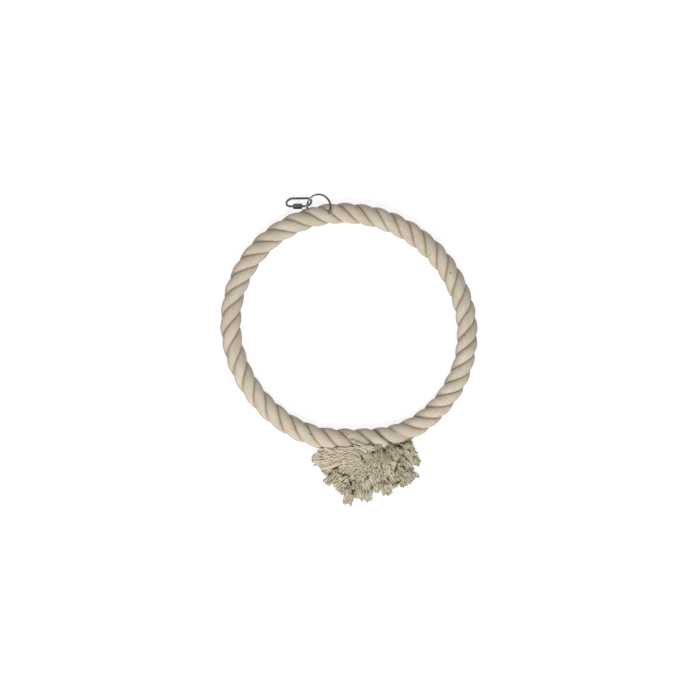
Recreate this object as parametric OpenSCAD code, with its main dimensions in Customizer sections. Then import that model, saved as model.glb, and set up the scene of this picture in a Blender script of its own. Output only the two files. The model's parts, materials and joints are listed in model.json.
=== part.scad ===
// Rope ring bird toy: a three-strand cotton rope laid into a ring, its ends frayed
// into a tassel, with a steel ring through the lay and a quick link to hang it by.
// It lies flat: Z is up, the floor is Z = 0, the hang point is toward +Y.

/* [Rope ring] */
// Outside diameter of the rope ring, the mean of its long and short way
ring_outer_d = 305; // [240:1:380]
// How much longer the ring is one way than across
ring_oval = 15; // [0:1:30]
// Direction of the long way, anticlockwise from +X
oval_angle = 138; // [0:1:180]
// Diameter of the rope over its strands
rope_d = 25; // [18:0.5:30]
// Depth of the grooves between strands
groove_depth = 2.4; // [1.5:0.1:3.5]
// Gap between neighbouring strands
strand_gap = 0.3; // [0.2:0.05:0.6]
// How deep the rope is flattened where it lies on the floor
flat_depth = 2.4; // [0.5:0.1:3]
// Turns of the lay round the whole ring
lay_turns = 14; // [10:1:18]
// How much tighter the lay is where it starts than where it ends
lay_slack = 0.114; // [0.02:0.002:0.2]

/* [Tassel] */
// Angle of the joint where the strand ends meet, anticlockwise from +X
joint_angle = 268.2; // [255:0.1:285]
// How far the rope bends inward at the joint
joint_dip = 5.3; // [0:0.1:7]
// How far the longest lock stands out from the middle of the rope
tassel_reach = 81; // [60:1:100]
// Width of a lock where it leaves the rope
lock_base_w = 4.6; // [3.6:0.1:5.4]
// Width of a lock near its frayed end
lock_end_w = 15; // [10:0.1:18]
// Thickness of a lock
lock_t = 5; // [3.5:0.1:6]
// Space from one lock to the next along the rope
lock_pitch = 7; // [5.8:0.1:8]
// Gap between one layer of locks and the next
lock_gap = 0.4; // [0.2:0.05:0.8]
// How far a strand end lifts off the rope
end_lift = 4; // [2:0.1:6]

/* [Hanging ring] */
// Inside diameter of the hanging ring
hang_inner_d = 27.5; // [22:0.1:33]
// Wire of the hanging ring
hang_wire_d = 2.4; // [2:0.1:3]
// Tilt of the hanging ring from level
hang_tilt = 21; // [15:1:26]
// Direction in which the hanging ring rises
hang_rise = 5; // [0:1:10]
// Clear space round the wire where it passes through the rope
hang_clearance = 0.35; // [0.25:0.05:0.6]

/* [Quick link] */
// Outside length of the quick link
link_l = 34; // [32:0.5:40]
// Outside width of the quick link
link_w = 16; // [15.5:0.1:19]
// Wire of the quick link
link_wire_d = 2.8; // [2.4:0.1:3]
// Place of the link on the hanging ring, anticlockwise from +X
link_at = 148; // [145:1:150]
// Direction in which the link lies
link_yaw = 168; // [160:1:175]
// Roll of the link about its length
link_roll = 42; // [40:1:46]
// Free play between the inside of the link's bend and the hanging ring
link_play = 1.5; // [1.4:0.1:2]
// How far the link sits off its middle on the hanging ring
link_aside = 0.5; // [0:0.1:1]
// Gap in the link that the sleeve closes
link_gap = 3; // [2.7:0.1:3.2]
// Length of the sleeve nut
sleeve_l = 10.5; // [9.5:0.1:11]
// Sleeve nut across its flats
sleeve_flats = 6; // [5:0.1:6.4]
// Radial clearance of the sleeve on the wire
sleeve_clearance = 0.05; // [0.03:0.01:0.1]
// How far the sleeve grips past the gap
sleeve_grip = 0.95; // [0.6:0.05:1.4]
// Clear space between the link and the floor
floor_gap = 0.2; // [0.1:0.05:0.5]

/* [Hidden] */
$fn = 64;
strand_count = 3;
rope_r = rope_d / 2;
rope_z = rope_r - flat_depth;
ring_mean_r = (ring_outer_d - rope_d) / 2;
ring_long_r = ring_mean_r + ring_oval / 4;
ring_short_r = ring_mean_r - ring_oval / 4;

// A groove is the dip between two strands, and counts the way round the ring
groove_count = lay_turns * strand_count;
groove_angle = 360 / strand_count;
steps_per_groove = 4;
strand_steps = groove_count * steps_per_groove - 1;
// A strand leaves the rope over this many grooves, and its end thins by this share
end_peel_grooves = 0.75;
end_taper = 0.4;

// The round back of a strand is an arc about a point inside its own wedge
groove_r = rope_r - groove_depth;
back_side = groove_angle / 2 - asin(strand_gap / 2 / groove_r);
back_centre = (rope_r ^ 2 - groove_r ^ 2) / (2 * (rope_r - groove_r * cos(groove_angle / 2)));
back_r = rope_r - back_centre;
back_points = 7;
strand_core = 0.9;
strand_middle = 0.62 * rope_r;
end_reach = mix(rope_r, strand_middle, end_taper) + end_lift;

// Each layer of the tassel, from the floor up: the locks' directions and their
// share of the reach, left to right
layer_angles = [
    [184, 209, 235, 253, 272.5, 299, 325],
    [196, 222, 248, 263.5, 278, 308],
    [189, 214, 241, 266, 292, 333],
];
layer_shares = [
    [0.91, 0.93, 1.00, 0.88, 0.80, 0.84, 0.77],
    [0.82, 0.84, 0.84, 0.74, 0.74, 0.77],
    [0.72, 0.69, 0.68, 0.62, 0.62, 0.57],
];
layer_pitch = lock_t + lock_gap;
lock_steps = 8;
lock_sides = 8;
// A lock sits this close to the rope, and bows outward before it turns its own way
lock_seat = 0.4;
lock_bow = 14;
lock_bow_share = 0.4;
lock_swell = 1.4;
lock_tip_w_share = 0.72;
lock_tip_t_share = 0.6;
LOCKS = [
    for (layer = [0 : len(layer_angles) - 1])
        for (i = [0 : len(layer_angles[layer]) - 1]) [layer, i]
];

hang_wire_r = hang_wire_d / 2;
hang_r = hang_inner_d / 2 + hang_wire_r;
// The hanging ring's middle sits over the outer shoulder of the rope
hang_out = 0.82 * rope_r;
hang_up = 0.55 * rope_r;
hang_angle = 92.1;
channel_steps = 40;
channel_sides = 8;

link_wire_r = link_wire_d / 2;
link_bend_r = (link_w - link_wire_d) / 2;
link_straight = link_l - link_w;
// The hook point is the middle of the hanging ring's wire, inside the link's near bend
link_hook = link_bend_r - hang_wire_r - link_wire_r - link_play;
link_far = link_hook + link_straight;
link_middle = link_hook + link_straight / 2;
// The gap sits toward the far end, so that the sleeve opens it as it backs toward the ring
gap_start = link_middle + sleeve_l / 2 - sleeve_grip - link_gap;
sleeve_chamfer = 0.5;
sleeve_r = sleeve_flats / sqrt(3);

function strand_name(i) = str("rope_strand_", i);
function lock_name(n) = str("tassel_lock_", n < 10 ? "0" : "", n);

function mix(a, b, t) = a + (b - a) * t;
function turned(p, a) = [p.x * cos(a) - p.y * sin(a), p.x * sin(a) + p.y * cos(a)];
function unit(v) = v / norm(v);

// The ring's centreline is an oval with a dip at the joint, given by its angle from the middle
dip_angle = joint_angle - 6;
dip_spread = 18;
function oval_r(a) = ring_long_r * ring_short_r
    / norm([ring_short_r * cos(a - oval_angle), ring_long_r * sin(a - oval_angle)]);
function dip_share(a) = let(t = (a - dip_angle) / 360) exp(-((t - round(t)) * 360 / dip_spread) ^ 2);
function ring_r(a) = oval_r(a) - joint_dip * dip_share(a);
function ring_point(a) = ring_r(a) * [cos(a), sin(a)];
function ring_outward(a) = let(growth = (ring_r(a + 0.5) - ring_r(a - 0.5)) * 180 / PI)
    turned(unit([ring_r(a), -growth]), a);

// The angle round the ring of a groove's number, from the joint on: the lay slackens on its way
function way_round(share) = ((1 + lay_slack) - sqrt((1 + lay_slack) ^ 2 - 4 * lay_slack * share))
    / (2 * lay_slack);
function groove_at(g) = let(turn = floor(g / groove_count))
    joint_angle + 360 * (turn + way_round(g / groove_count - turn));
function groove_of(a) = let(t = (a - joint_angle) / 360, turn = floor(t), u = t - turn)
    groove_count * (turn + u + lay_slack * u * (1 - u));

// One strand's section, a rounded wedge about the rope's middle with its back toward +X
function strand_section() = concat(
    [[strand_core, 0]],
    [
        for (i = [0 : back_points - 1])
            let(b = mix(-back_side, back_side, i / (back_points - 1)))
                (back_centre * cos(b) + sqrt(back_r ^ 2 - (back_centre * sin(b)) ^ 2)) * [cos(b), sin(b)]
    ]
);

// The section lifts off the rope and thins toward a strand's end, as lifted goes from 0 to 1
function lifted_section(lifted) = [
    for (p = strand_section())
        [mix(p.x, strand_middle, end_taper * lifted ^ 2) + end_lift * lifted ^ 2,
         p.y * (1 - end_taper * lifted ^ 2)]
];

// A strand starts and ends a step apart, where its back faces outward, and turns with the lay
function strand_first(i) = i - 1 - (steps_per_groove - 1) / steps_per_groove;
function strand_groove(i, k) = strand_first(i) + k / steps_per_groove;
function strand_lean(i, k) = 90 - groove_angle * (strand_groove(i, k) - i + 1 + strand_count / 2);
function strand_lifted(k) = max(0, 1 - min(k, strand_steps - k) / steps_per_groove / end_peel_grooves);
function strand_outline(i, k) = [
    for (p = lifted_section(strand_lifted(k))) turned(p, strand_lean(i, k))
];

// A section point at one place round the ring, kept above the floor
function rope_point(p, a) = let(flat = ring_point(a) + ring_outward(a) * p.x)
    [flat.x, flat.y, max(0, rope_z + p.y)];

// Triangles between rings of points, closed into a loop or left open. A strip's
// diagonal leans with the lay, but both flat sides of a strand lean from its core.
function band_faces(rings, sides, loop, core = false) = [
    for (k = [0 : rings - (loop ? 1 : 2)])
        for (i = [0 : sides - 1])
            let(j = (i + 1) % sides, next = (k + 1) % rings * sides)
            let(a = k * sides + i, b = k * sides + j, c = next + i, d = next + j)
                each (core && j == 0 ? [[a, c, b], [b, c, d]] : [[a, d, b], [a, c, d]])
];

// The same with a fan on each end
function loft_faces(rings, sides, core = false) = let(last = (rings - 1) * sides) concat(
    band_faces(rings, sides, false, core),
    [for (i = [1 : sides - 2]) [0, i, i + 1]],
    [for (i = [1 : sides - 2]) [last, last + i + 1, last + i]]
);

module in_place() {
    translate([0, ring_y, 0]) children();
}

module strand_form(i) {
    points = [
        for (k = [0 : strand_steps])
            for (p = strand_outline(i, k)) rope_point(p, groove_at(strand_groove(i, k)))
    ];
    polyhedron(points, loft_faces(strand_steps + 1, back_points + 1, true));
}

module rope_strand(i) {
    color("blanchedalmond") in_place() difference() {
        strand_form(i);
        hang_place() hang_channel();
    }
}

// The tassel fans out about the oval's line at the joint
fan_groove = 0.17;
fan_angle = groove_at(fan_groove);
fan_middle = oval_r(fan_angle) * [cos(fan_angle), sin(fan_angle)];
function lock_tip(layer, i) = let(a = layer_angles[layer][i])
    fan_middle + tassel_reach * layer_shares[layer][i] * [cos(a), sin(a)];
function lock_base_angle(layer, i) = let(row = len(layer_angles[layer]) - 1)
    fan_angle + (i - row / 2) * lock_pitch / ring_r(fan_angle) * 180 / PI;

// How far the rope reaches outward below a height, at one groove and over a lock's leaning base
reach_parts = 10;
function groove_reach(g, top) = max([
    0,
    for (i = [1 : strand_count])
        for (turn = [0, 1])
            let(k = (g + turn * groove_count - strand_first(i)) * steps_per_groove)
                if (k >= 0 && k <= strand_steps)
                    let(line = strand_outline(i, k))
                        for (j = [0 : len(line) - 1])
                            for (t = [0 : reach_parts - 1])
                                let(q = mix(line[j], line[(j + 1) % len(line)], t / reach_parts))
                                    if (rope_z + q.y < top) q.x
]);
function base_reach(a, half_w, lean, top) = max([
    for (side = [-1 : 0.5 : 1])
        groove_reach(groove_of(a + side * half_w * cos(lean) / ring_r(a) * 180 / PI), top)
            + side * half_w * sin(lean)
]);

// A lock bows outward from its base before it turns its own way
function lock_bend(layer, i, base) = let(out = ring_outward(lock_base_angle(layer, i)))
    let(way = lock_tip(layer, i) - base)
        base + way * lock_bow_share + out * lock_bow * abs(cross(out, unit(way)));

// The lowest layer sits on the rope with the upper corners of its eight sides, the others
// start past the lifted strand ends
corner_share = tan(180 / lock_sides);
function lock_base(layer, i) = let(a = lock_base_angle(layer, i), out = ring_outward(a))
    let(start = ring_point(a) + out * rope_r, way = unit(lock_bend(layer, i, start) - start))
    let(lean = asin(cross(out, way)), half_w = lock_base_w / 2)
    let(corner_w = half_w * (1 + corner_share) / 2, corner_top = lock_t * (3 + corner_share) / 4)
    let(wide = base_reach(a, half_w, lean, lock_gap + corner_top))
    let(high = base_reach(a, corner_w, lean, lock_gap + lock_t))
    let(past_end = end_reach + half_w * abs(sin(lean)))
        ring_point(a) + out * ((layer == 0 ? max(wide, high) : past_end) + lock_seat);
function lock_point(base, bend, tip, u) = (1 - u) ^ 2 * base + 2 * u * (1 - u) * bend + u ^ 2 * tip;
function lock_way(base, bend, tip, u) = unit((1 - u) * (bend - base) + u * (tip - bend));
// A lock swells from the rope to its frayed end, and is blunt there
function lock_width(u) = mix(lock_base_w, lock_end_w, u ^ lock_swell) * (u == 1 ? lock_tip_w_share : 1);
function lock_height(u) = lock_t * (u == 1 ? lock_tip_t_share : 1);

module lock_form(layer, i) {
    base = lock_base(layer, i);
    bend = lock_bend(layer, i, base);
    tip = lock_tip(layer, i);
    middle_z = lock_gap + lock_t / 2 + layer * layer_pitch;
    points = [
        for (k = [0 : lock_steps])
            let(u = k / lock_steps)
            let(way = lock_way(base, bend, tip, u), middle = lock_point(base, bend, tip, u))
                for (s = [0 : lock_sides - 1])
                    let(a = 360 * (s + 0.5) / lock_sides, round_off = cos(180 / lock_sides))
                    let(across = lock_width(u) / 2 * cos(a) / round_off)
                    let(up = lock_height(u) / 2 * sin(a) / round_off)
                        [middle.x - way.y * across, middle.y + way.x * across, middle_z + up]
    ];
    polyhedron(points, loft_faces(lock_steps + 1, lock_sides));
}

module tassel_lock(n) {
    color("antiquewhite") in_place() lock_form(LOCKS[n - 1][0], LOCKS[n - 1][1]);
}

// The middle of the part's outline sits over the origin
tassel_end = max([for (lock = LOCKS) -lock_tip(lock[0], lock[1]).y]);
hang_end = hang_middle().y + hang_r + hang_wire_r;
ring_y = (tassel_end - hang_end) / 2;

function hang_middle() = let(p = ring_point(hang_angle) + ring_outward(hang_angle) * hang_out)
    [p.x, p.y, rope_z + hang_up];

module hang_place() {
    translate(hang_middle()) rotate([0, -hang_tilt, hang_rise]) children();
}

// The way through the rope for the wire: a flat-sided tube round the hanging ring's circle
module hang_channel() {
    r = (hang_wire_r + hang_clearance) / cos(180 / channel_sides);
    points = [
        for (k = [0 : channel_steps - 1])
            for (s = [0 : channel_sides - 1])
                let(a = 360 * k / channel_steps, b = -360 * (s + 0.5) / channel_sides)
                let(out = hang_r + r * cos(b))
                    [out * cos(a), out * sin(a), r * sin(b)]
    ];
    polyhedron(points, band_faces(channel_steps, channel_sides, true));
}

module hanging_ring() {
    color("gray") in_place() hang_place()
        rotate_extrude() translate([hang_r, 0]) circle(hang_wire_r);
}

// The hook point on the wire, and the slope at which the far end lies on the floor
function hook_point() = let(a = link_at - hang_rise)
    let(level = turned([hang_r * cos(a) * cos(hang_tilt), hang_r * sin(a)], hang_rise))
        hang_middle() + [level.x, level.y, hang_r * cos(a) * sin(hang_tilt)];
function link_drop(pitch) = let(side = sin(link_roll) * cos(pitch))
    link_bend_r * norm([sin(pitch), side]) + link_aside * side;
function link_slope(pitch, tries) = tries == 0 ? pitch
    : link_slope(asin((hook_point().z - link_wire_r - floor_gap - link_drop(pitch)) / link_far), tries - 1);
slope_tries = 6;
link_pitch = link_slope(0, slope_tries);

module link_place() {
    translate(hook_point()) rotate([link_roll, link_pitch, link_yaw])
        translate([0, -link_aside, 0]) children();
}

// A straight length of the link's wire on one of its sides
module link_bar(from, to, side) {
    translate([from, side * link_bend_r, 0]) rotate([0, 90, 0]) cylinder(h = to - from, r = link_wire_r);
}

module link_bend(at, start) {
    translate([at, 0, 0]) rotate([0, 0, start])
        rotate_extrude(angle = 180) translate([link_bend_r, 0]) circle(link_wire_r);
}

module quick_link_body() {
    color("dimgray") in_place() link_place() {
        link_bar(link_hook, link_far, -1);
        link_bend(link_far, -90);
        link_bend(link_hook, 90);
        link_bar(link_hook, gap_start, 1);
        link_bar(gap_start + link_gap, link_far, 1);
    }
}

module quick_link_sleeve() {
    bore_r = link_wire_r + sleeve_clearance;
    color("darkgray") in_place() link_place()
        translate([link_middle - sleeve_l / 2, link_bend_r, 0]) rotate([0, 90, 0]) difference() {
            intersection() {
                cylinder(h = sleeve_l, r = sleeve_r, $fn = 6);
                rotate_extrude() polygon([
                    [0, 0],
                    [sleeve_r - sleeve_chamfer, 0],
                    [sleeve_r, sleeve_chamfer],
                    [sleeve_r, sleeve_l - sleeve_chamfer],
                    [sleeve_r - sleeve_chamfer, sleeve_l],
                    [0, sleeve_l]
                ]);
            }
            translate([0, 0, -1]) cylinder(h = sleeve_l + 2, r = bore_r);
        }
}

for (i = [1 : strand_count]) rope_strand(i);
for (n = [1 : len(LOCKS)]) tassel_lock(n);
hanging_ring();
quick_link_body();
quick_link_sleeve();
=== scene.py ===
"""Looks of the rope ring bird toy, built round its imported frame. Shapes are in millimetres until
mesh_piece makes them, and the camera, the lamps and the materials are in metres."""

import json
import math

import bmesh
import bpy
import numpy as np
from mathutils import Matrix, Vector


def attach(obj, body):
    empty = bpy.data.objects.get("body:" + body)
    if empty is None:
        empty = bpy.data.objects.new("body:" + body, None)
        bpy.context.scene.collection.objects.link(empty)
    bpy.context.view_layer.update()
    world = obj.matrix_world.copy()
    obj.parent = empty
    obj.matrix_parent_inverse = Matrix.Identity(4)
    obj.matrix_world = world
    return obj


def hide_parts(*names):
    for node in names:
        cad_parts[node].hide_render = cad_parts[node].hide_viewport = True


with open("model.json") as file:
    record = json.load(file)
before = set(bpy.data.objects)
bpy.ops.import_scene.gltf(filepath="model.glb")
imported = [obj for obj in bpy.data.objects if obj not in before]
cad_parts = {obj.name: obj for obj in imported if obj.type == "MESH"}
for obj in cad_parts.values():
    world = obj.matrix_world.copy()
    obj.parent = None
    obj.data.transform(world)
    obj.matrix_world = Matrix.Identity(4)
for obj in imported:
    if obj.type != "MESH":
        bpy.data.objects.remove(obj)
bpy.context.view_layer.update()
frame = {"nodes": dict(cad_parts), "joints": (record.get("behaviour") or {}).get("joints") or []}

MM = 0.001
FULL_TURN = 2 * math.pi
scene = bpy.context.scene
scene.view_settings.view_transform = "Standard"


# Camera: straight down, turned so that the hanging ring is at the top

PHOTO_TURN = math.radians(12)
# So high that a pixel of the photo is 1.2 mm at the height of the rope
CAMERA_PLACE = (-0.0042, -0.0050, 4.679)

camera_data = bpy.data.cameras.new("camera")
camera_data.lens = 200
camera_data.sensor_width = 36
camera = bpy.data.objects.new("camera", camera_data)
camera.location = CAMERA_PLACE
camera.rotation_euler = (0, 0, -PHOTO_TURN)
scene.collection.objects.link(camera)
scene.camera = camera


# The rope's own measures, the same as in the CAD model

STRANDS, LAY_TURNS = 3, 14
RING_OUTER_D, ROPE_D = 305, 25
ROPE_R = ROPE_D / 2
# Height of the rope's middle, since the rope is flattened where it lies on the floor
FLAT_DEPTH = 2.4
ROPE_Z = ROPE_R - FLAT_DEPTH
# The ring is longer one way than across, and its middle lies off the origin, away from the tassel
RING_OVAL, OVAL_ANGLE = 15, math.radians(138)
LONG_R = (RING_OUTER_D - ROPE_D) / 2 + RING_OVAL / 4
SHORT_R = LONG_R - RING_OVAL / 2
RING_Y = 20.76
# It dips inward at the joint
DIP, DIP_ANGLE, DIP_SPREAD = 5.3, math.radians(262.2), math.radians(18)
# Grooves are counted from the joint, and the lay slackens on its way round
JOINT_DEGREES, LAY_SLACK = 268.2, 0.114
GROOVES, GROOVE_ANGLE = STRANDS * LAY_TURNS, 360 / STRANDS
# The back of a strand is an arc whose centre lies off the rope's middle
BACK_CENTRE = 3.64
BACK_R = ROPE_R - BACK_CENTRE

# The hanging ring: its middle and axis from the frame, and its radii as in the CAD model
RING_TURN = next(joint for joint in frame["joints"] if joint["name"] == "ring_turn")
HANG_MIDDLE = np.array(RING_TURN["pos_m"]) / MM
HANG_AXIS = np.array(RING_TURN["axis"])
HANG_INNER_R, HANG_WIRE_R = 13.75, 1.2
HANG_R = HANG_INNER_R + HANG_WIRE_R


# What the looks add to them

# The two rope ends lie beside each other at the joint, which is wider there toward the outside
JOINT_SWELL = 0.18
# One groove is open where the ends butt, and dark there, partly with painted shade
BUTT_ANGLE, BUTT_SPREAD = math.radians(273), math.radians(3.2)
# Past it the strands are pressed flat together, and the next groove hardly shows
FLAT_ANGLE, FLAT_SPREAD = math.radians(284), math.radians(4.5)
# How softly the underside rounds off to the floor, in square millimetres
FLOOR_SOFTNESS = 0.4
# Step for the slope of the middle line, in radians
ANGLE_STEP = 0.004
# Waves in a noise, and what their sum seldom passes
NOISE_WAVES, NOISE_PEAK = 6, 3.2


def bell(a, middle, spread):
    """A share from 0 to 1, the highest where angle a is at the middle."""
    off = (a - middle + math.pi) % FULL_TURN - math.pi
    return np.exp(-((off / spread) ** 2))


def joint_share(a):
    """How near the joint is, from 0 to 1."""
    return bell(a, DIP_ANGLE, DIP_SPREAD)


def ring_radius(a):
    """The rope's middle line: an oval that dips inward at the joint."""
    turn = a - OVAL_ANGLE
    oval = LONG_R * SHORT_R / np.hypot(SHORT_R * np.cos(turn), LONG_R * np.sin(turn))
    return oval - DIP * joint_share(a)


def ring_frame(a):
    """Points of the middle line and their outward directions, at angles a in radians."""
    r = ring_radius(a)
    growth = (ring_radius(a + ANGLE_STEP) - ring_radius(a - ANGLE_STEP)) / (2 * ANGLE_STEP)
    c, s = np.cos(a), np.sin(a)
    point = np.stack([r * c, RING_Y + r * s], -1)
    out = np.stack([r * c + growth * s, r * s - growth * c], -1)
    return point, out / np.linalg.norm(out, axis=-1, keepdims=True)


def groove_angle(g):
    """The angle round the ring of groove number g, in radians."""
    turn = np.floor(g / GROOVES)
    k = LAY_SLACK
    way = ((1 + k) - np.sqrt((1 + k) ** 2 - 4 * k * (g / GROOVES - turn))) / (2 * k)
    return np.radians(JOINT_DEGREES + 360 * (turn + way))


def on_rope(g, x, y):
    """Points x outward and y up from the rope's middle, settled softly on the floor."""
    a = groove_angle(g)
    point, out = ring_frame(a)
    x = x + JOINT_SWELL * joint_share(a) * (x + ROPE_R)
    z = ROPE_Z + y
    z = 0.5 * (z + np.sqrt(z * z + FLOOR_SOFTNESS))
    return np.concatenate([point + out * x[..., None], z[..., None]], -1)


def smooth_noise(rng, *coordinates):
    """A smooth pattern from about -1 to 1 over the given coordinates, each in periods."""
    total = 0
    for _ in range(NOISE_WAVES):
        phase = rng.uniform(0, FULL_TURN)
        wave = sum(c * rng.uniform(0.4, 1.6) * rng.choice([-1, 1]) for c in coordinates)
        total = total + np.sin(FULL_TURN * wave + phase)
    return total / NOISE_PEAK


def mesh_piece(name, points, faces, material, smooth=True):
    """An object from points in millimetres."""
    mesh = bpy.data.meshes.new(name)
    mesh.from_pydata(np.asarray(points) * MM, [], faces)
    mesh.polygons.foreach_set("use_smooth", np.full(len(mesh.polygons), smooth))
    mesh.update()
    piece = bpy.data.objects.new(name, mesh)
    scene.collection.objects.link(piece)
    mesh.materials.append(material)
    return piece


def point_values(piece, name, values):
    """A number for each point of a piece, which its material reads by name."""
    layer = piece.data.attributes.new(name, "FLOAT", "POINT")
    layer.data.foreach_set("value", np.asarray(values, dtype=np.float32).ravel())


def tube_quads(rings, sides, closed=False):
    """Faces of a tube, from each ring of points to the next, and from the last to the first if closed."""
    k = np.arange(rings if closed else rings - 1)[:, None]
    j = np.arange(sides)[None, :]
    next_k, next_j = (k + 1) % rings, (j + 1) % sides
    corners = [k * sides + j, next_k * sides + j, next_k * sides + next_j, k * sides + next_j]
    return np.stack(corners, -1).reshape(-1, 4)


# Materials

WHITE, BLACK = (1, 1, 1), (0, 0, 0)
HUSK_BROWN = (0.16, 0.10, 0.06)
# Soft clouds in the colour, and fibres
CLOUD = dict(Scale=38, Detail=3, Roughness=0.55)
CLOUD_STOPS, CLOUD_SHARE = ((0.35, (0.86, 0.83, 0.78)), (0.68, WHITE)), 0.8
FIBRE = dict(Scale=1300, Detail=4, Roughness=0.7)
FIBRE_STOPS, FIBRE_SHARE = ((0.3, (0.78, 0.76, 0.72)), (0.6, WHITE)), 0.45
COTTON_SURFACE = {"Roughness": 0.95, "Specular IOR Level": 0.15, "Sheen Weight": 0.12, "Sheen Roughness": 0.5}
# Clouds in the nickel, and how far its roughness goes with them
DULLING = dict(Scale=120, Detail=2, Roughness=0.5)
SMOOTHER, ROUGHER = 0.8, 1.3


def new_material(name):
    """A new material, with its nodes, its links and its shader."""
    material = bpy.data.materials.new(name)
    material.use_nodes = True
    nodes = material.node_tree.nodes
    return material, nodes, material.node_tree.links, nodes["Principled BSDF"]


def node(nodes, kind, **values):
    """A node with values for its inputs, or else its settings."""
    made = nodes.new(kind)
    for key, value in values.items():
        if key in made.inputs:
            made.inputs[key].default_value = value
        else:
            setattr(made, key, value)
    return made


def ramp(nodes, *stops):
    """A colour ramp through stops, each a position and a colour."""
    made = nodes.new("ShaderNodeValToRGB")
    made.color_ramp.elements[0].position = stops[0][0]
    made.color_ramp.elements[0].color = (*stops[0][1], 1)
    made.color_ramp.elements[1].position = stops[-1][0]
    made.color_ramp.elements[1].color = (*stops[-1][1], 1)
    for position, colour in stops[1:-1]:
        made.color_ramp.elements.new(position).color = (*colour, 1)
    return made


def mix_colour(nodes, links, a, b, factor, blend="MIX"):
    """a and b are sockets or colours, factor a socket or a number."""
    made = nodes.new("ShaderNodeMix")
    made.data_type = "RGBA"
    made.blend_type = blend
    for socket, value in ((made.inputs[6], a), (made.inputs[7], b), (made.inputs[0], factor)):
        if isinstance(value, bpy.types.NodeSocket):
            links.new(value, socket)
        else:
            socket.default_value = (*value, 1) if isinstance(value, tuple) else value
    return made.outputs[2]


def noise_tone(nodes, links, place, noise, stops):
    """A noise over the place as a number, and the colour that it picks between the stops."""
    made = node(nodes, "ShaderNodeTexNoise", **noise)
    links.new(place, made.inputs["Vector"])
    tone = ramp(nodes, *stops)
    links.new(made.outputs["Fac"], tone.inputs["Fac"])
    return made.outputs["Fac"], tone.outputs["Color"]


def husk_share(nodes, links, place, scale):
    """Bits of seed husk: 1 close to the middle of some of a pattern's cells, and 0 elsewhere."""
    cells = node(nodes, "ShaderNodeTexVoronoi", Scale=scale, Randomness=1.0)
    links.new(place, cells.inputs["Vector"])
    near = ramp(nodes, (0.055, WHITE), (0.10, BLACK))
    links.new(cells.outputs["Distance"], near.inputs["Fac"])
    chosen = ramp(nodes, (0.38, BLACK), (0.42, WHITE))
    links.new(cells.outputs["Color"], chosen.inputs["Fac"])
    speck = node(nodes, "ShaderNodeMath", operation="MULTIPLY")
    links.new(near.outputs["Color"], speck.inputs[0])
    links.new(chosen.outputs["Color"], speck.inputs[1])
    return speck.outputs[0]


def cotton(name, tones, painted_shade, specks):
    """Undyed cotton: a tint for each yarn, clouds, fibres, painted shade in the hollows, and bits of seed
    husk.
    """
    material, nodes, links, bsdf = new_material(name)
    place = nodes.new("ShaderNodeTexCoord").outputs["Object"]
    yarn = node(nodes, "ShaderNodeAttribute", attribute_name="yarn").outputs["Fac"]
    painted_shade_share = node(nodes, "ShaderNodeAttribute", attribute_name="painted_shade").outputs["Fac"]
    tint = ramp(nodes, *((n / (len(tones) - 1), tone) for n, tone in enumerate(tones)))
    links.new(yarn, tint.inputs["Fac"])
    _, cloud_tone = noise_tone(nodes, links, place, CLOUD, CLOUD_STOPS)
    fibre, fibre_tone = noise_tone(nodes, links, place, FIBRE, FIBRE_STOPS)
    colour = mix_colour(nodes, links, tint.outputs["Color"], cloud_tone, CLOUD_SHARE, "MULTIPLY")
    colour = mix_colour(nodes, links, colour, fibre_tone, FIBRE_SHARE, "MULTIPLY")
    # Painted shade: the colour is multiplied toward the shade colour where the points ask for it
    colour = mix_colour(nodes, links, colour, painted_shade, painted_shade_share, "MULTIPLY")
    colour = mix_colour(nodes, links, colour, HUSK_BROWN, husk_share(nodes, links, place, specks))
    links.new(colour, bsdf.inputs["Base Color"])
    for socket, value in COTTON_SURFACE.items():
        bsdf.inputs[socket].default_value = value
    bump = node(nodes, "ShaderNodeBump", Strength=0.5, Distance=0.0004)
    links.new(fibre, bump.inputs["Height"])
    links.new(bump.outputs["Normal"], bsdf.inputs["Normal"])
    return material


def nickel(name, bright, dark, roughness):
    """Nickel plating that has dulled in soft clouds."""
    material, nodes, links, bsdf = new_material(name)
    place = nodes.new("ShaderNodeTexCoord").outputs["Object"]
    cloud, tone = noise_tone(nodes, links, place, DULLING, ((0.35, dark), (0.65, bright)))
    links.new(tone, bsdf.inputs["Base Color"])
    rough = node(nodes, "ShaderNodeMapRange")
    rough.inputs["To Min"].default_value = roughness * SMOOTHER
    rough.inputs["To Max"].default_value = roughness * ROUGHER
    links.new(cloud, rough.inputs["Value"])
    links.new(rough.outputs["Result"], bsdf.inputs["Roughness"])
    bsdf.inputs["Metallic"].default_value = 1.0
    return material


# After the tints, each cotton's colour is that of its painted shade
ROPE_COTTON = cotton("rope_cotton", ((0.64, 0.57, 0.465), (0.76, 0.68, 0.565)), (0.66, 0.55, 0.44), 80)
YARN_COTTON = cotton("yarn_cotton", ((0.29, 0.255, 0.16), (0.54, 0.505, 0.385), (0.80, 0.70, 0.57)),
                     (0.22, 0.14, 0.07), 70)
RING_NICKEL = nickel("ring_nickel", (0.24, 0.247, 0.235), (0.17, 0.176, 0.166), 0.24)
LINK_NICKEL = nickel("link_nickel", (0.20, 0.207, 0.196), (0.14, 0.146, 0.137), 0.24)
SLEEVE_NICKEL = nickel("sleeve_nickel", (0.145, 0.152, 0.143), (0.10, 0.106, 0.098), 0.26)


# Rope strands: rows of points follow the yarns, which run along the rope, and columns the grooves

# Yarns in the full turn round the rope, and rows of points for each
YARNS_ROUND, ROWS_PER_YARN = 34, 4
YARN_PITCH = 360 / YARNS_ROUND
# Yarns before their tints repeat
YARN_KINDS = 997
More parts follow.
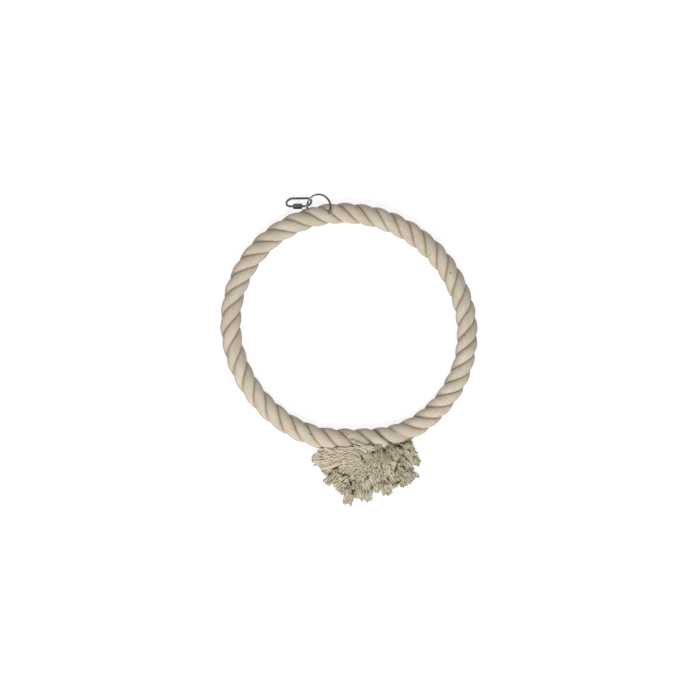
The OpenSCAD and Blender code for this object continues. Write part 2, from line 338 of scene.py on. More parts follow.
# A yarn's tint: the least, what it adds by itself, and what patches add or take away
TINT_LEAST, TINT_OWN, TINT_PATCHES = 0.2, 0.6, 0.2
# Period of the patches, in grooves and in degrees of the back
PATCH_GROOVES, PATCH_DEGREES = 3, 400
# The back reaches this many degrees to each side of its crown
BACK_SIDE, BACK_COLUMNS = 59.8, 19
# Columns of the inside: their side, and their share of the way from the rope's middle to the back
INSIDE = ((1, 0.86), (1, 0.45), (0, 0.1), (-1, 0.45), (-1, 0.86))
# In grooves: how far before its own groove a strand starts, and the gap from its end to its start
START_BEFORE, END_GAP = 0.85, 0.02
# A yarn's ridge: its height, how round it is, how far it is sunk, and how much the yarns differ
RIDGE, RIDGE_POWER, RIDGE_SINK, RIDGE_SPREAD = 0.30, 0.8, 0.2, 0.05
# Slow and quick swelling of a strand: height, and its period in grooves and in degrees of the back
SWELLS = ((0.20, 1.7, 260), (0.12, 0.625, 90))
# How far the sides draw back in a groove: all round, less where they lie flat, more where the ends butt
PARTED, FLAT_PARTED, BUTT_PARTED = 0.9, 2.0, 1.3
# Degrees from the crown where a groove's painted shade begins, how much sooner where the ends butt, and its
# width
DARK_FROM, DARK_SOONER, DARK_WIDTH = 34, 8, 26
# How much paler the painted shade is where the strands lie flat
FLAT_PALER = 0.7
# The hanging ring's wire presses the cotton in where it enters, and lifts it where it runs underneath
PRESS_REACH, PRESS_DEPTH, COVER_LIFT = 2.6, 3.2, 0.5
# It runs underneath this deep in the rope or deeper, and counts as out of it this much higher up
UNDER_DEPTH, UNDER_FADE = 1.6, 1.2
# Room round the wire, and the points of the tube that cuts its way
WAY_CLEARANCE, WAY_TURNS, WAY_SIDES = 0.4, 96, 14
# Points closer than this are one, in metres
SAME_POINT = 1e-7


class Strand:
    """One strand as a grid of points. For each, g is the number of its groove along the rope, and b its
    degrees from the crown."""

    def __init__(self, i):
        self.name = f"strand_{i}"
        self.rng = np.random.default_rng(40 + i)
        first = i - 1 - START_BEFORE
        last = first + GROOVES - END_GAP
        even = np.linspace(-BACK_SIDE, BACK_SIDE, BACK_COLUMNS)
        crowded = BACK_SIDE * np.sin(np.linspace(-math.pi / 2, math.pi / 2, BACK_COLUMNS))
        sides, shares = np.array(INSIDE).T
        columns = np.concatenate([(crowded + even) / 2, BACK_SIDE * sides])
        self.depth = np.concatenate([np.ones(BACK_COLUMNS), shares])
        # A row keeps one angle round the rope's middle, except at the strand's two ends
        length = GROOVE_ANGLE * (last - first) + 2 * BACK_SIDE
        rows = math.ceil(length / YARN_PITCH * ROWS_PER_YARN) + 1
        start = BACK_SIDE + (GROOVE_ANGLE * START_BEFORE - 90)
        row_angle = (start - np.arange(rows) * YARN_PITCH / ROWS_PER_YARN)[:, None]
        self.b = np.broadcast_to(columns, (rows, len(columns)))
        self.g = np.clip((self.b - 90 - row_angle) / GROOVE_ANGLE + i - 1, first, last)
        self.turned = -90 - GROOVE_ANGLE * (self.g - i + 1) + self.b
        yarn = self.turned / YARN_PITCH
        self.across = yarn - np.floor(yarn)
        kind = np.floor(yarn).astype(int) % YARN_KINDS
        self.tint = self.rng.uniform(0, 1, YARN_KINDS)[kind]
        self.fullness = self.rng.normal(0, RIDGE_SPREAD, YARN_KINDS)[kind]
        self.butt = bell(groove_angle(self.g), BUTT_ANGLE, BUTT_SPREAD)
        self.flat = bell(groove_angle(self.g), FLAT_ANGLE, FLAT_SPREAD)

    def radius(self):
        """Distance from the rope's middle, with yarns, swelling and grooves."""
        b = np.radians(self.b)
        back = BACK_CENTRE * np.cos(b) + np.sqrt(BACK_R**2 - (BACK_CENTRE * np.sin(b)) ** 2)
        bulge = np.sin(math.pi * self.across)
        ridge = RIDGE * np.abs(bulge) ** RIDGE_POWER - RIDGE_SINK + self.fullness * bulge
        swell = sum(height * smooth_noise(self.rng, self.g / grooves, self.b / degrees)
                    for height, grooves, degrees in SWELLS)
        edge = np.abs(self.b / BACK_SIDE)
        parted = (PARTED - FLAT_PARTED * self.flat) * edge**5 + BUTT_PARTED * self.butt * edge**6
        return (back + ridge + swell - parted) * self.depth

    def placed(self, r):
        """The points at distance r from the rope's middle."""
        turned = np.radians(self.turned)
        return on_rope(self.g, r * np.cos(turned), r * np.sin(turned))

    def wire_shares(self, r):
        """From 0 to 1: how near each point is to the hanging ring's wire, and how far the wire is out of
        the rope there."""
        away = self.placed(r) - HANG_MIDDLE
        up = away @ HANG_AXIS
        level = away - up[..., None] * HANG_AXIS
        out = np.linalg.norm(level, axis=-1, keepdims=True)
        wire = HANG_MIDDLE + level * (HANG_R / out)
        near = np.exp(-((out[..., 0] - HANG_R) ** 2 + up**2) / PRESS_REACH**2)
        middle = np.insert(ring_frame(groove_angle(self.g))[0], 2, ROPE_Z, -1)
        above = np.linalg.norm(wire - middle, axis=-1) - ROPE_R + UNDER_DEPTH
        return near, np.clip(above / UNDER_FADE, 0, 1)

    def painted_shade(self, pressed):
        """How much painted shade each point has, from 0 to 1: in the grooves, where the wire presses in, and
        inside.
        """
        # Painted shade in the grooves, stronger where the ends butt
        groove = np.clip((np.abs(self.b) - DARK_FROM + DARK_SOONER * self.butt) / DARK_WIDTH, 0, 1) ** 2
        dark = groove * (1 + self.butt) * (1 - FLAT_PALER * self.flat) + pressed
        return np.clip(np.where(self.depth < 1, 1, dark), 0, 1)

    def piece(self):
        """The mesh of the strand, with a tint and an amount of painted shade for each of its points."""
        r = self.radius()
        near, above = self.wire_shares(r)
        points = self.placed(r + (COVER_LIFT - PRESS_DEPTH * above) * near * self.depth)
        rows, columns = self.b.shape
        faces = tube_quads(rows, columns).tolist()
        faces.append(list(range(columns)))
        faces.append([(rows - 1) * columns + c for c in reversed(range(columns))])
        made = mesh_piece(self.name, points.reshape(-1, 3), faces, ROPE_COTTON)
        patches = smooth_noise(self.rng, self.g / PATCH_GROOVES, self.b / PATCH_DEGREES)
        point_values(made, "yarn", self.tint * TINT_OWN + TINT_LEAST + TINT_PATCHES * patches)
        # Painted shade round the wire where it enters, in the grooves, and inside
        point_values(made, "painted_shade", self.painted_shade(near * above))
        clean_up(made)
        return made


def clean_up(piece):
    """Joins the points that fall together at a strand's ends, and makes all faces flat and face outward."""
    shell = bmesh.new()
    shell.from_mesh(piece.data)
    bmesh.ops.remove_doubles(shell, verts=shell.verts, dist=SAME_POINT)
    bmesh.ops.recalc_face_normals(shell, faces=shell.faces)
    # On flat faces the cut for the wire leaves no slivers
    bmesh.ops.triangulate(shell, faces=shell.faces)
    shell.to_mesh(piece.data)
    shell.free()


def cut_way(piece, cutter):
    """Cuts the way of the hanging ring's wire through a strand."""
    cut = piece.modifiers.new("way", "BOOLEAN")
    cut.operation = "DIFFERENCE"
    cut.object = cutter
    cut.solver = "EXACT"
    made = piece.evaluated_get(bpy.context.evaluated_depsgraph_get())
    mesh = bpy.data.meshes.new_from_object(made)
    piece.modifiers.clear()
    piece.data = mesh


def wire_way(r):
    """A closed tube round the hanging ring's circle."""
    side = np.cross(HANG_AXIS, [1.0, 0, 0])
    side /= np.linalg.norm(side)
    ahead = np.cross(side, HANG_AXIS)
    a = np.arange(WAY_TURNS)[:, None] * FULL_TURN / WAY_TURNS
    b = np.arange(WAY_SIDES)[None, :] * FULL_TURN / WAY_SIDES
    out = HANG_R + r * np.cos(b)
    points = HANG_MIDDLE + (out * np.cos(a))[..., None] * ahead + (out * np.sin(a))[..., None] * side
    points = points + (r * np.sin(b) + 0 * a)[..., None] * HANG_AXIS
    faces = tube_quads(WAY_TURNS, WAY_SIDES, closed=True).tolist()
    return mesh_piece("wire_way", points.reshape(-1, 3), faces, ROPE_COTTON)


strands = [Strand(i).piece() for i in range(1, STRANDS + 1)]
cutter = wire_way(HANG_WIRE_R + WAY_CLEARANCE)
for strand in strands:
    cut_way(strand, cutter)
bpy.data.objects.remove(cutter)
for i, strand in enumerate(strands, 1):
    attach(strand, "rope_ring")
    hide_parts(f"rope_strand_{i}")


# Tassel: each yarn is a bent tube with a twist, and yarns go together in locks

# Points along a yarn and round it
YARN_POINTS, YARN_SIDES = 34, 6
# The share of its way that a yarn has gone at each of its points
U = np.linspace(0, 1, YARN_POINTS)
# Length of one twist, and how far a yarn of two plies is from round
YARN_TWIST, YARN_PLIES = 12.0, 0.2
# Crinkles to the side and up: length and share of the two waves
SWAY, HEAVE = ((15.0, 0.75), (8.3, 0.55)), ((12.0, 0.5), (7.1, 0.4))
# Crinkles begin at the first share of the way, grow over the second, and from the third on fall off to half
CRINKLE_START, CRINKLE_GROWTH, CRINKLE_FALL = 0.05, 0.3, 0.6
# A yarn starts half as thick as it is after this share of its way
BLOOM = 0.15
# A yarn starts this deep in the rope, comes up over this share of its way, and then lies this deep in it
ROOT_DEPTH, ROOT_WAY, ROOT_SINK = 1.8, 0.1, 0.3
# Slits press yarns down fully from the second height up, and not at all below the first
SLIT_FLOOR, SLIT_FULL = 2, 12
# How close to its middle the painted shade of a slit stays
SLIT_DARK = 0.8
# Least height of a yarn's middle over the floor, as a share of its radius
FLOOR_SHARE = 0.8
# Tints that plain yarns have, on the ramp of their material
PLAIN_TONES = (0.0, 0.68)
# How the yarns of a lock differ: their places across it, their crinkles and their radii
PLACE_SPREAD, CRINKLE_RANGE, RADIUS_RANGE = 0.8, (0.7, 1.3), (0.85, 1.15)
# Yarns pass the tip by up to this share of what they can fall short of it
PASSING = 0.4
# Thickness of a lock at its tip, as a share of that at its root
TIP_THICKNESS = 0.7

# Middle of the tassel where it leaves the rope
TASSEL = np.array([-4.4, -121.75])
# Right and up as the camera sees them, to four places
RIGHT = np.round([math.cos(PHOTO_TURN), -math.sin(PHOTO_TURN)], 4)
UP = np.round([math.sin(PHOTO_TURN), math.cos(PHOTO_TURN)], 4)

# Deep slits between the locks: right, up, half length, half width, direction in degrees, depth
SLITS = (
    (-9.4, -14.8, 4.5, 1.5, -65, 6), (3.6, -7.8, 2.8, 1.6, 10, 8), (17.5, -5, 3.2, 1.4, 75, 8),
    (34.5, -1, 5.0, 2.0, -15, 8), (34, -19, 3.4, 1.4, 70, 9), (31, -28.5, 4.2, 1.6, 75, 8),
    (40, -12, 3.6, 1.3, -50, 6), (-41, -27, 4.0, 1.7, 25, 6), (-48, -34.7, 3.4, 1.6, 45, 6),
    (-23, -45, 4.0, 1.5, -80, 7), (-21, -56, 4.2, 1.5, -75, 6), (2.6, -50, 3.0, 1.6, 55, 6),
    (33.4, -44.7, 4.0, 1.9, 35, 6), (-30, -35, 3.4, 1.3, 20, 5),
    (14, -24, 3.6, 1.2, -85, 5), (-3, -38, 3.2, 1.3, 60, 5), (22, -40, 3.6, 1.3, -75, 5),
    (45, -17, 3.0, 1.2, -40, 5), (39.5, -25.5, 3.2, 1.3, -35, 6), (26, -14, 3.4, 1.1, -80, 5),
)


def spot(x, y, z):
    """A point of the tassel: right and up from its middle, and its height."""
    return np.append(TASSEL + x * RIGHT + y * UP, z)


def slit_depth(line):
    """How deep each point lies in the slits, and how much painted shade it gets there."""
    flat = line[..., :2] - TASSEL
    x, y = flat @ RIGHT, flat @ UP
    depth, dark = 0 * x, 0 * x
    for at_x, at_y, half, width, way, most in SLITS:
        c, s = math.cos(math.radians(way)), math.sin(math.radians(way))
        along = (c * (x - at_x) + s * (y - at_y)) / half
        across = (c * (y - at_y) - s * (x - at_x)) / width
        near = along**2 + across**2
        depth = depth + most * np.exp(-near)
        # Painted shade in the slit
        dark = np.maximum(dark, np.exp(-SLIT_DARK * near**2))
    return depth, dark


def off_rope(line, r):
    """Moves points that lie in the rope out to its surface, except where a yarn starts in it."""
    flat = line[..., :2] - np.array([0, RING_Y])
    a = np.arctan2(flat[..., 1], flat[..., 0])
    point, out = ring_frame(a)
    swell = JOINT_SWELL * joint_share(a)
    x = (np.sum((line[..., :2] - point) * out, -1) - swell * ROPE_R) / (1 + swell)
    y = line[..., 2] - ROPE_Z
    reach = np.hypot(x, y)
    least = ROPE_R - ROOT_DEPTH + (r + ROOT_DEPTH - ROOT_SINK) * np.clip(U / ROOT_WAY, 0, 1)
    grow = np.where(reach < least, least / np.maximum(reach, 1e-6), 1)
    moved = line[..., :2] + out * (x * (grow - 1) * (1 + swell))[..., None]
    return np.concatenate([moved, (ROPE_Z + y * grow)[..., None]], -1)


def ways(line):
    """The way ahead along each line, and the level way to its left."""
    ahead = np.gradient(line, axis=1)
    ahead /= np.maximum(np.linalg.norm(ahead, axis=-1, keepdims=True), 1e-9)
    side = np.stack([-ahead[..., 1], ahead[..., 0], 0 * ahead[..., 0]], -1)
    side /= np.maximum(np.linalg.norm(side, axis=-1, keepdims=True), 1e-6)
    return ahead, side


def arcs(base, bend, tip):
    """Smooth lines from base by way of bend to tip, and the length gone at each of their points."""
    weights = [w[None, :, None] for w in ((1 - U) ** 2, 2 * U * (1 - U), U**2)]
    line = weights[0] * base[:, None] + weights[1] * bend[:, None] + weights[2] * tip[:, None]
    step = np.linalg.norm(np.diff(line, axis=1), axis=-1)
    return line, np.concatenate([np.zeros((len(line), 1)), np.cumsum(step, 1)], 1)


def waves(kinds, gone, phases):
    """The sum of waves along the lines, each a length and a share."""
    return sum(share * np.sin(FULL_TURN * gone / length + phase[:, None])
               for (length, share), phase in zip(kinds, phases.T))


def crinkle_lines(line, gone, phase, crinkle):
    """Bends the lines to and fro and up and down, the least at their two ends."""
    share = np.clip((U - CRINKLE_START) / CRINKLE_GROWTH, 0, 1)
    share = share * (1 - 0.5 * np.clip((U - CRINKLE_FALL) / (1 - CRINKLE_FALL), 0, 1))
    share = share[None, :] * crinkle[:, None]
    _, side = ways(line)
    line = line + side * (waves(SWAY, gone, phase[:, :2]) * share)[..., None]
    line[..., 2] += waves(HEAVE, gone, phase[:, 2:]) * share
    return line


def yarn_tubes(line, gone, r, phase):
    """Points round each line, on twisted yarns of radius r."""
    ahead, side = ways(line)
    up = np.cross(ahead, side)
    b = FULL_TURN * np.arange(YARN_SIDES) / YARN_SIDES
    turn = b[None, None, :] - (FULL_TURN * gone / YARN_TWIST + phase[:, :1])[..., None]
    bloom = 0.5 + 0.5 * np.clip(U / BLOOM, 0, 1)
    radius = (r[:, None] * bloom[None, :])[..., None] * (1 + YARN_PLIES * np.cos(2 * turn))
    return (line[:, :, None] + (radius * np.cos(b))[..., None] * side[:, :, None]
            + (radius * np.sin(b))[..., None] * up[:, :, None])


def yarn_faces(count):
    """Faces of as many yarns, each a tube with two caps."""
    points = YARN_POINTS * YARN_SIDES
    starts = np.arange(count) * points
    faces = starts[:, None, None] + tube_quads(YARN_POINTS, YARN_SIDES)[:, [0, 3, 2, 1]]
    faces = faces.reshape(-1, 4).tolist()
    for start in starts.tolist():
        faces.append([start + c for c in reversed(range(YARN_SIDES))])
        faces.append([start + points - YARN_SIDES + c for c in range(YARN_SIDES)])
    return faces


class Yarns:
    """Collects yarns as rows of values, and makes one mesh of them."""

    def __init__(self, rng):
        self.rng = rng
        self.rows = []

    def lock(self, base, bend, tip, count, base_w, tip_w, thick, crinkle, r=1.1, ragged=0.05, tangle=0.5,
             tones=PLAIN_TONES):
        """Yarns from base by way of bend to tip, side by side over a width and a thickness."""
        rng = self.rng
        way = tip - base
        side = np.array([-way[1], way[0], 0])
        side /= np.linalg.norm(side)
        phase = rng.uniform(0, FULL_TURN, 4)
        for n in range(count):
            across = side * np.clip((2 * n + 1) / count - 1 + rng.normal(0, PLACE_SPREAD / count), -1, 1)
            rise = np.array([0, 0, rng.uniform(-0.5, 0.5) * thick])
            end = base + way * (1 + rng.uniform(-ragged, ragged * PASSING))
            self.rows.append((
                base + across * base_w / 2 + rise,
                bend + across * (base_w + tip_w) / 4 + rise,
                end + across * tip_w / 2 + rise * TIP_THICKNESS,
                phase + rng.normal(0, tangle, 4),
                crinkle * rng.uniform(*CRINKLE_RANGE),
                r * rng.uniform(*RADIUS_RANGE),
                rng.uniform(*tones),
            ))

    def piece(self, name, root_painted_shade=0.4, tip_pale=0.3):
        """One mesh of the yarns, with painted shade at the roots and in the slits, and paler toward the tips.
        """
        base, bend, tip, phase, crinkle, r, tint = (np.array(column) for column in zip(*self.rows))
        line, gone = arcs(base, bend, tip)
        line = crinkle_lines(line, gone, phase, crinkle)
        depth, dark = slit_depth(line)
        line[..., 2] -= depth * np.clip((line[..., 2] - SLIT_FLOOR) / (SLIT_FULL - SLIT_FLOOR), 0, 1)
        line = off_rope(line, r[:, None])
        line[..., 2] = np.maximum(line[..., 2], FLOOR_SHARE * r[:, None])
        points = yarn_tubes(line, gone, r, phase)
        made = mesh_piece(name, points.reshape(-1, 3), yarn_faces(len(line)), YARN_COTTON)
        pale = tint[:, None] + tip_pale * U[None, :] ** 2
        # Painted shade at the roots and in the slits
        dark = np.maximum(root_painted_shade * (1 - U[None, :]) ** 3, dark)
        point_values(made, "yarn", np.broadcast_to(pale[..., None], points.shape[:-1]))
        point_values(made, "painted_shade", np.broadcast_to(dark[..., None], points.shape[:-1]))
        return made


# Places in the tassel, as the camera sees them: right and up from its middle

# The rope's outer edge, and the line where the yarns come up out of the rope
EDGE = ((-48, -30, -12, 12, 36, 50), (-6, -7, -8, -6, -1, 5))
RISE = ((-29, -23, -14, -2, 3, 18, 26, 49, 53), (-9, -4, -1, 3, -3, -5, 1, 2, -1))
# The line on the rope where its strands fray
FRAY = ((-2, 12, 17.5, 22, 26, 28, 40, 43, 48, 54), (3, 3.5, 1, 4, 6, 1.5, 0.5, 5, 6, -1))
# Tips of the longest locks, which lie on the floor and make the outline, and the width there
OUTLINE = np.array([
    (-58, -31, 9), (-53, -47, 10), (-40, -54, 10), (-28, -72, 11), (-16, -64, 10), (-5, -68, 14),
    (6, -57, 10), (21.5, -60, 12), (33, -50, 10), (45, -49, 14), (52.5, -42, 10),
    (50, -32, 9), (60, -22.5, 7), (49, -6, 8),
])
# Shares of the way to the outline that shorter locks reach, by its number between two tips
FILL = ((2.5, 3.5, 5.5, 6.5, 7.5), (0.95, 0.88, 0.88, 0.94, 0.88))
# Layers of crinkled locks: heights of root and tip, least and most share of the way, and count
LAYERS = ((13, 9, 0.74, 0.94, 16), (17, 12.5, 0.5, 0.74, 14), (20, 16, 0.3, 0.5, 11))
# The combed lock's parts, from the top one down: root, bend, tip, width and raggedness
COMBED = (
    ((-14, -5), (-40, -5), (-62, -8), 4, 0.06),
    ((-10, -6), (-41, -9), (-69, -14), 6, 0.04),
    ((-8, -8), (-37, -13), (-69.5, -17), 6, 0.04),
    ((-6, -9), (-34, -17), (-68, -21), 7, 0.05),
    ((-3, -10), (-30, -18), (-61, -26), 7, 0.08),
    ((-1, -10.5), (-25, -20), (-52, -28.5), 7, 0.1),
    ((0, -11), (-20, -22), (-41, -28), 7, 0.12),
    ((1, -12), (-14, -24), (-34, -31), 7, 0.12),
    ((2, -12.5), (-10, -26), (-26, -36), 7, 0.12),
    ((2, -13), (-5, -28), (-17, -39), 7, 0.12),
)
# Those of its yarns that lie up on the rope: both ends, and count
COMBED_UP = (((-24, 6.5), (-2, -3.5), 4), ((-20, 1), (-3, -7), 4), ((-6, -1), (4, -4), 3))

# Roots on the rope's edge are spread less than the tips, within limits, and lie this far inside the edge
ROOT_SPREAD, ROOT_LEFT, ROOT_RIGHT, ROOT_INSET = 0.42, -22, 40, 3
# How much darker the palest yarns are, for each millimetre to the right
RIGHT_DARKER = 0.006
# The upper of two locks on the floor goes this share of the way out to the lower one's tip
UPPER_SHARE = 0.96
# Crinkled locks rise from the rope over this width, from the left
CRINKLED_LEFT, CRINKLED_WIDTH = -18, 62
# Loose yarns: their count, their height at the root of the tassel, and how much lower the furthest lie
LOOSE_COUNT, LOOSE_TOP, LOOSE_DROP = 110, 21.5, 12
# They lie on lines to the outline, which start spread by this share of it and this far up
LOOSE_SPREAD, LOOSE_Y = 0.4, -3
# Heights of the combed lock at its root, bend and tip, and of its yarns on the rope
COMBED_HEIGHTS, COMBED_UP_Z = (20, 21.5, 11.5), 22.8
# Short yarns that tangle over each part of the combed lock
TANGLED_COUNT = 5
# The frayed end: its two sides, its count of places, and its heights at the root and the tip
FRAYED_LEFT, FRAYED_RIGHT, FRAYED_COUNT = -2, 50, 58
FRAYED_ROOT_Z, FRAYED_TIP_Z = 21, 13.5


def lifted(base, tip, height):
    """The bend of a lock that arches up between its ends."""
    return 0.5 * (base + tip) + np.array([0, 0, height])


def swept(base, tip, sag, rise):
    """The bend of a lock that leaves the rope outward before it turns to its tip."""
    middle = 0.55 * base + 0.45 * tip
    return middle - np.append(sag * UP, -rise)


def outline_at(row):
    """A place on the line through the tips, by its number."""
    return np.array([np.interp(row, np.arange(len(OUTLINE)), OUTLINE[:, c]) for c in (0, 1)])


def floor_lock(yarns, x, y, width, root_z, tip_z, count):
    """A lock from the rope's edge to a tip, on the floor or on other locks."""
    at = np.clip(ROOT_SPREAD * x, ROOT_LEFT, ROOT_RIGHT)
    base, tip = spot(at, np.interp(at, *EDGE) + ROOT_INSET, root_z), spot(x, y, tip_z)
    tones = (PLAIN_TONES[0], PLAIN_TONES[1] - RIGHT_DARKER * max(x, 0))
    yarns.lock(base, swept(base, tip, 5, 1.5), tip, count, base_w=6, tip_w=width, thick=3.0,
               crinkle=0.45, r=0.85, tones=tones)


def outline_locks(rng):
    """Two locks to each tip of the outline, one on the other."""
    yarns = Yarns(rng)
    for x, y, width in OUTLINE:
        floor_lock(yarns, x, y, width, root_z=4, tip_z=2.0, count=17)
        floor_lock(yarns, UPPER_SHARE * x, UPPER_SHARE * y, width, root_z=8, tip_z=5.0, count=16)
    return yarns


def short_locks(rng):
    """Shorter locks that fill the notches of the outline."""
    yarns = Yarns(rng)
    for row in np.arange(len(OUTLINE) - 1) + 0.5:
        x, y = np.interp(row, *FILL) * outline_at(row)
        floor_lock(yarns, x, y, width=12, root_z=6, tip_z=4.0, count=13)
    # One lies along the rope, under the frayed end
    yarns.lock(spot(28, -4, 5), spot(40, -3, 7), spot(51, -1, 5), count=14, base_w=6, tip_w=6, thick=6,
               crinkle=0.45, tones=(0.0, 0.3))
    # A thin wisp at the right
    yarns.lock(spot(28, -9, 5), spot(44, -24, 6), spot(59, -39, 3), count=2, base_w=1, tip_w=2, thick=1,
               crinkle=0.6)
    return yarns


def crinkled_locks(rng):
    """Crinkled locks above them, each layer shorter."""
    yarns = Yarns(rng)
    for root_z, tip_z, least, most, count in LAYERS:
        for n in range(count):
            t = (n + 0.5) / count
            at = CRINKLED_LEFT + CRINKLED_WIDTH * t
            end = outline_at(0.5 + t * (len(OUTLINE) - 1.5) + rng.uniform(-0.3, 0.3))
            start = np.array([at, np.interp(at, *RISE)])
            base = spot(*(start - (0, (LAYERS[-1][0] - root_z) / 2)), root_z)
            tip = spot(*(start + (end - start) * rng.uniform(least, most)), tip_z)
            yarns.lock(base, swept(base, tip, 3, 2.5), tip, count=9, base_w=6, tip_w=11, thick=3.6,
                       crinkle=1.5, ragged=0.15, tangle=1.0)
    return yarns


def loose_yarns(rng):
    """Loose curled yarns on top, which lie lower further out."""
    yarns = Yarns(rng)
    for _ in range(LOOSE_COUNT):
        end = outline_at(rng.uniform(0.5, len(OUTLINE) - 1.2))
        share = rng.uniform(0.15, 0.85)
        root = np.array([LOOSE_SPREAD * end[0], LOOSE_Y])
        middle = root * (1 - share) + end * share
        turn = math.atan2(*(end - root)[::-1]) + rng.normal(0, 0.7)
        half = 0.5 * rng.uniform(9, 17) * np.array([math.cos(turn), math.sin(turn)])
        z = LOOSE_TOP - LOOSE_DROP * share
        base, tip = spot(*(middle - half), z - 1.5), spot(*(middle + half), z - 2)
        yarns.lock(base, lifted(base, tip, 3.5), tip, count=1, base_w=1, tip_w=1, thick=1, crinkle=2.2, r=1.0)
    return yarns


def combed_lock(rng):
    """One long lock that is combed straight and lies over the rest, to the left."""
    yarns = Yarns(rng)
    for number, (start, bend, end, width, ragged) in enumerate(COMBED):
        # The upper yarns are paler
        tones = (0.75 - 0.05 * number, 1.05 - 0.04 * number)
        z = rng.uniform(-0.8, 0.8)
        places = zip((start, bend, end), COMBED_HEIGHTS)
        base, bend, tip = (spot(*place, height + z) for place, height in places)
        yarns.lock(base, bend, tip, count=10, base_w=5, tip_w=width, thick=3.0, crinkle=0.8, r=0.95,
                   ragged=ragged, tangle=1.3, tones=tones)
        # Shorter yarns tangle over it
        for _ in range(TANGLED_COUNT):
            share = rng.uniform(0.15, 0.8)
            middle = base * (1 - share) ** 2 + 2 * bend * share * (1 - share) + tip * share**2
            turn = math.atan2(*(tip - base)[1::-1]) + rng.normal(0, 0.35)
            half = 0.5 * rng.uniform(10, 20) * np.array([math.cos(turn), math.sin(turn), 0])
            lift = np.array([0, 0, 4.0])
            yarns.lock(middle - half, middle + lift, middle + half, count=2, base_w=2, tip_w=3, thick=1,
                       crinkle=1.6, r=0.9, ragged=0.2, tangle=1.5, tones=tones)
    for start, end, count in COMBED_UP:
        base, tip = spot(*start, COMBED_UP_Z), spot(*end, COMBED_UP_Z)
        yarns.lock(base, lifted(base, tip, 2.5), tip, count, base_w=2, tip_w=4, thick=1, crinkle=0.5,
                   r=1.1, ragged=0.15, tones=(0.6, 1.0))
    return yarns


def frayed_end(rng):
    """The right strand, which frays straight into short yarns."""
    yarns = Yarns(rng)
    for at in np.linspace(FRAYED_LEFT, FRAYED_RIGHT, FRAYED_COUNT):
        start = np.array([at + rng.normal(0, 0.8), np.interp(at, *FRAY) + rng.uniform(-8, 0.5)])
        # They point down in the picture, and fan out a little
        lean = math.radians(-80 + 0.2 * (at - 17) + rng.uniform(-14, 14))
        end = start + rng.uniform(13, 24) * np.array([math.cos(lean), math.sin(lean)])
        # Lower to the right, where the rope falls away, and paler toward the combed lock
        root_z = FRAYED_ROOT_Z - 0.09 * (at - FRAYED_LEFT)
        base, tip = spot(*start, root_z), spot(*end, FRAYED_TIP_Z)
        pale = 0.3 * np.clip((14 - at) / 12, 0, 1)
        yarns.lock(base, lifted(base, tip, 4.0), tip, count=2, base_w=2, tip_w=3, thick=2.5, crinkle=1.0,
                   r=1.0, ragged=0.15, tones=(pale - 0.1, pale + 0.55))
    return yarns


tassel_rng = np.random.default_rng(5)
tassel_piece = outline_locks(tassel_rng).piece("tassel_locks")
short_piece = short_locks(tassel_rng).piece("tassel_short_locks")
crinkled_piece = crinkled_locks(tassel_rng).piece("tassel_crinkled_locks")
loose_piece = loose_yarns(tassel_rng).piece("tassel_loose_yarns")
combed_yarns = combed_lock(np.random.default_rng(9))
# Little painted shade at the roots of the combed and frayed yarns
combed_piece = combed_yarns.piece("tassel_combed_lock", root_painted_shade=0.12, tip_pale=0.1)
frayed_yarns = frayed_end(np.random.default_rng(13))
frayed_piece = frayed_yarns.piece("tassel_frayed_end", root_painted_shade=0.1, tip_pale=0.15)

locks = [n for n in frame["nodes"] if n.startswith("tassel_lock_")]
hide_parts(*locks)
for piece in (tassel_piece, short_piece, crinkled_piece, loose_piece, combed_piece, frayed_piece):
    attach(piece, "rope_ring")


# Metal

for name, material in (("hanging_ring", RING_NICKEL), ("quick_link_body", LINK_NICKEL),
                       ("quick_link_sleeve", SLEEVE_NICKEL)):
    data = frame["nodes"][name].data
    data.materials.clear()
    data.materials.append(material)


# Floor and light

# Half the width of the floor, and its height, just under the toy
FLOOR_HALF, FLOOR_Z = 15000, -0.3
FLOOR_GREY, FLOOR_GLOW = 0.42, 0.79
# Grey of the sky by its height, from 0 at the horizon to 1 overhead
SKY = ((0.0, 0.55), (0.45, 0.34), (0.9, 0.22))


def grey(value):
    """A colour with no hue."""
    return (value, value, value)


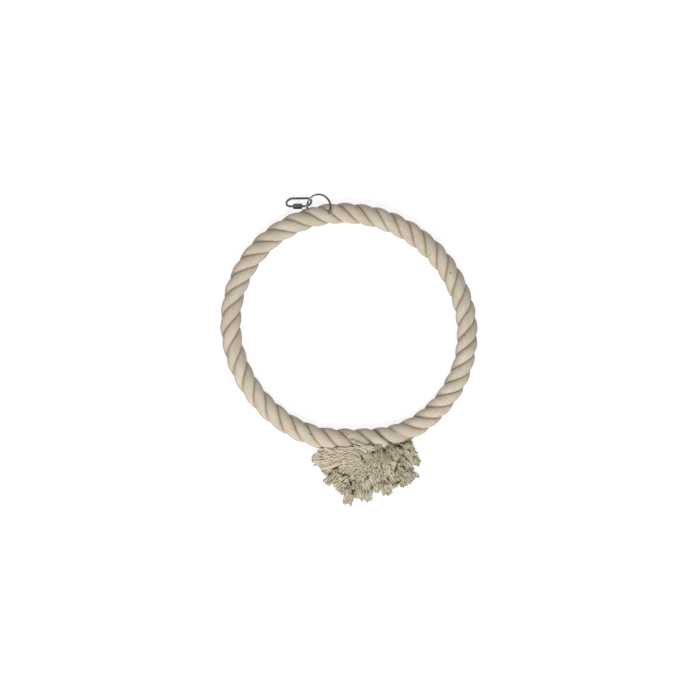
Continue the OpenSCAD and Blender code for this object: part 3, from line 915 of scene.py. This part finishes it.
def floor_material():
    """Matt grey that glows to the camera and in reflections, so that it shows white and keeps shadows."""
    material, nodes, links, bsdf = new_material("floor")
    bsdf.inputs["Base Color"].default_value = (*grey(FLOOR_GREY), 1)
    bsdf.inputs["Roughness"].default_value = 1.0
    bsdf.inputs["Specular IOR Level"].default_value = 0.0
    light = nodes.new("ShaderNodeLightPath")
    seen = node(nodes, "ShaderNodeMath", operation="MAXIMUM")
    also = node(nodes, "ShaderNodeMath", operation="MAXIMUM")
    links.new(light.outputs["Is Camera Ray"], seen.inputs[0])
    links.new(light.outputs["Is Glossy Ray"], seen.inputs[1])
    links.new(seen.outputs[0], also.inputs[0])
    links.new(light.outputs["Is Transmission Ray"], also.inputs[1])
    glow = node(nodes, "ShaderNodeEmission", Color=(*grey(FLOOR_GLOW), 1))
    links.new(also.outputs[0], glow.inputs["Strength"])
    both = nodes.new("ShaderNodeAddShader")
    links.new(bsdf.outputs[0], both.inputs[0])
    links.new(glow.outputs[0], both.inputs[1])
    links.new(both.outputs[0], nodes["Material Output"].inputs["Surface"])
    return material


def studio_world():
    """Soft light all round, the brightest from the horizon."""
    world = bpy.data.worlds.new("studio")
    world.use_nodes = True
    nodes, links = world.node_tree.nodes, world.node_tree.links
    parts = nodes.new("ShaderNodeSeparateXYZ")
    links.new(nodes.new("ShaderNodeTexCoord").outputs["Generated"], parts.inputs[0])
    tone = ramp(nodes, *((height, grey(value)) for height, value in SKY))
    links.new(parts.outputs["Z"], tone.inputs["Fac"])
    links.new(tone.outputs["Color"], nodes["Background"].inputs["Color"])
    return world


def area_light(name, place, size, power):
    """A round lamp that points to the origin."""
    data = bpy.data.lights.new(name, "AREA")
    data.shape = "DISK"
    data.size = size
    data.energy = power
    lamp = bpy.data.objects.new(name, data)
    lamp.location = place
    lamp.rotation_euler = (-Vector(place)).to_track_quat("-Z", "Y").to_euler()
    scene.collection.objects.link(lamp)


corners = [(x * FLOOR_HALF, y * FLOOR_HALF, FLOOR_Z) for x, y in ((-1, -1), (1, -1), (1, 1), (-1, 1))]
floor = mesh_piece("floor", corners, [(0, 1, 2, 3)], floor_material(), smooth=False)

scene.world = studio_world()
# The photo's light comes from the side of the tassel
area_light("key", (-0.5, -1.85, 2.0), 2.6, 73)
area_light("fill", (0.4, 1.9, 1.6), 1.2, 8)
# A faint card that the upper faces of the metal mirror
area_light("card", (-1.12, 1.2, 1.83), 0.6, 1.6)
